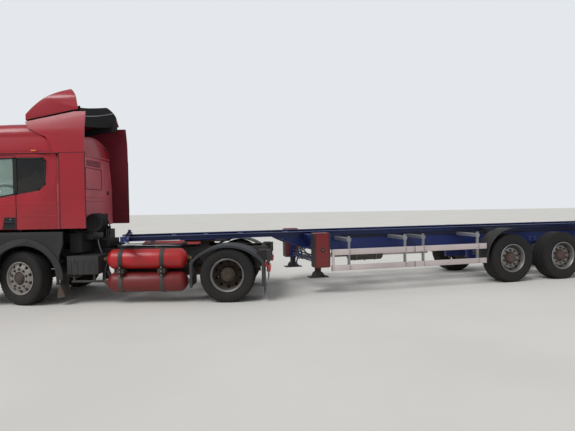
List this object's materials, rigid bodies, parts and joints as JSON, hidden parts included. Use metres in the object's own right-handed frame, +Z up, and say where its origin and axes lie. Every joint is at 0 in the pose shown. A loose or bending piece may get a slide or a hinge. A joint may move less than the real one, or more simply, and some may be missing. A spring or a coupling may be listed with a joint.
{
  "type": "articulated lorry with skeletal container semi-trailer",
  "caption": "Red high-roof tractor unit with gas cylinders, coupled at its fifth wheel to a blue gooseneck skeletal container trailer.",
  "frame": {"origin": "on the ground under the middle of the parked lorry's bounding box", "axes": "+Z up, -X the way the tractor faces, -Y the tractor's left side; the trailer is parked swung about +Z"},
  "size_m": [15.0381, 5.5333, 3.9457],
  "materials": {
    "cab_red": "gloss",
    "tank_red": "gloss",
    "chassis_blue": "satin",
    "frame_dark": "satin",
    "case_red": "satin",
    "grey_plastic": "matte",
    "black_plastic": "matte",
    "guard_aluminium": "satin",
    "galvanised": "matte",
    "cast": "matte",
    "glass": "gloss",
    "dark_glass": "gloss",
    "lamp": "gloss",
    "tyre": "matte",
    "fabric": "matte"
  },
  "bodies": {
    "tractor": {"air_intake": "black_plastic", "battery_box": "grey_plastic", "bumper": "grey_plastic", "drive_axle": "cast", "engine": "cast", "fifth_wheel": "cast", "front_axle": "cast", "front_fenders": "grey_plastic", "gas_tanks": "tank_red", "rear_fenders": "grey_plastic", "tank_brackets": "frame_dark", "tractor_cross_members": "frame_dark", "tractor_lamps": "lamp", "tractor_rails": "frame_dark", "tractor_suspension": "cast"},
    "cab": {"cab_floor": "frame_dark", "cab_front": "cab_red", "cab_sides": "cab_red", "cab_rear": "cab_red", "cab_roof": "cab_red", "windscreen": "glass", "quarter_windows": "dark_glass", "roof_deflector": "cab_red", "side_deflectors": "cab_red", "seats": "fabric", "dashboard": "black_plastic"},
    "trailer": {"trailer_beams": "chassis_blue", "coupler_plate": "chassis_blue", "trailer_cross_members": "chassis_blue", "bolsters": "chassis_blue", "landing_gear": "chassis_blue", "extinguisher_boxes": "case_red", "side_guards": "guard_aluminium", "guard_brackets": "galvanised", "mudguards": "grey_plastic", "trailer_axles": "cast", "trailer_suspension": "chassis_blue", "air_tanks": "frame_dark", "rear_bumper": "frame_dark", "trailer_lamps": "lamp"},
    "tie_rod": {"tie_rod": "cast"},
    "door_left": {"door_left": "cab_red", "door_glass_left": "glass", "mirror_left": "black_plastic"},
    "knuckle_left": {"knuckle_left": "cast"},
    "wheel_front_left": {"wheel_front_left": "tyre"},
    "wheels_drive_left": {"wheels_drive_left": "tyre"},
    "wheel_trailer_1_left": {"wheel_trailer_1_left": "tyre"},
    "wheel_trailer_2_left": {"wheel_trailer_2_left": "tyre"},
    "wheel_trailer_3_left": {"wheel_trailer_3_left": "tyre"},
    "door_right": {"door_right": "cab_red", "door_glass_right": "glass", "mirror_right": "black_plastic"},
    "knuckle_right": {"knuckle_right": "cast"},
    "wheel_front_right": {"wheel_front_right": "tyre"},
    "wheels_drive_right": {"wheels_drive_right": "tyre"},
    "wheel_trailer_1_right": {"wheel_trailer_1_right": "tyre"},
    "wheel_trailer_2_right": {"wheel_trailer_2_right": "tyre"},
    "wheel_trailer_3_right": {"wheel_trailer_3_right": "tyre"}
  },
  "joints": [
    {"name": "cab_tilt", "type": "hinge", "parent": "tractor", "child": "cab", "pos_m": [-7.46312, -1.2019, 0.98], "axis": [0, -1, 0], "range_deg": [0, 60]},
    {"name": "trailer_swing", "type": "hinge", "parent": "tractor", "child": "trailer", "pos_m": [-3.02312, -1.2019, 1.1], "axis": [0, 0, 1], "range_deg": [-55.3, 24.7]},
    {"name": "door_left_hinge", "type": "hinge", "parent": "cab", "child": "door_left", "pos_m": [-7.19812, -2.4319, 1.38], "axis": [0, 0, -1], "range_deg": [0, 75]},
    {"name": "steer_left", "type": "hinge", "parent": "tractor", "child": "knuckle_left", "pos_m": [-6.12312, -2.0619, 0.495], "axis": [0, 0, 1], "range_deg": [-17.3, 52.7]},
    {"name": "wheel_front_left_spin", "type": "hinge", "parent": "knuckle_left", "child": "wheel_front_left", "pos_m": [-6.22649, -2.3858, 0.495], "axis": [0.304, 0.9527, 0], "continuous": true},
    {"name": "wheels_drive_left_spin", "type": "hinge", "parent": "tractor", "child": "wheels_drive_left", "pos_m": [-2.47312, -2.0969, 0.495], "axis": [0, 1, 0], "continuous": true},
    {"name": "wheel_trailer_1_left_spin", "type": "hinge", "parent": "trailer", "child": "wheel_trailer_1_left", "pos_m": [3.39859, -0.49741, 0.52], "axis": [-0.2639, 0.9646, 0], "continuous": true},
    {"name": "wheel_trailer_2_left_spin", "type": "hinge", "parent": "trailer", "child": "wheel_trailer_2_left", "pos_m": [4.66216, -0.15174, 0.52], "axis": [-0.2639, 0.9646, 0], "continuous": true},
    {"name": "wheel_trailer_3_left_spin", "type": "hinge", "parent": "trailer", "child": "wheel_trailer_3_left", "pos_m": [5.92573, 0.19393, 0.52], "axis": [-0.2639, 0.9646, 0], "continuous": true},
    {"name": "door_right_hinge", "type": "hinge", "parent": "cab", "child": "door_right", "pos_m": [-7.19812, 0.0281, 1.38], "axis": [0, 0, 1], "range_deg": [0, 75]},
    {"name": "steer_right", "type": "hinge", "parent": "tractor", "child": "knuckle_right", "pos_m": [-6.12312, -0.3419, 0.495], "axis": [0, 0, 1], "range_deg": [-17.3, 52.7]},
    {"name": "wheel_front_right_spin", "type": "hinge", "parent": "knuckle_right", "child": "wheel_front_right", "pos_m": [-6.01975, -0.01799, 0.495], "axis": [0.304, 0.9527, 0], "continuous": true},
    {"name": "wheels_drive_right_spin", "type": "hinge", "parent": "tractor", "child": "wheels_drive_right", "pos_m": [-2.47312, -0.3069, 0.495], "axis": [0, 1, 0], "continuous": true},
    {"name": "wheel_trailer_1_right_spin", "type": "hinge", "parent": "trailer", "child": "wheel_trailer_1_right", "pos_m": [2.86293, 1.46064, 0.52], "axis": [-0.2639, 0.9646, 0], "continuous": true},
    {"name": "wheel_trailer_2_right_spin", "type": "hinge", "parent": "trailer", "child": "wheel_trailer_2_right", "pos_m": [4.1265, 1.80631, 0.52], "axis": [-0.2639, 0.9646, 0], "continuous": true},
    {"name": "wheel_trailer_3_right_spin", "type": "hinge", "parent": "trailer", "child": "wheel_trailer_3_right", "pos_m": [5.39007, 2.15199, 0.52], "axis": [-0.2639, 0.9646, 0], "continuous": true},
    {"name": "tie_rod_pivot", "type": "hinge", "parent": "knuckle_left", "child": "tie_rod", "pos_m": [-5.92782, -2.12422, 0.41], "axis": [0, 0, 1], "range_deg": [-52.7, 17.3]}
  ],
  "couplings": [
    {"joint": "steer_right", "follows": "steer_left", "ratio": 1},
    {"joint": "tie_rod_pivot", "follows": "steer_left", "ratio": -1}
  ]
}
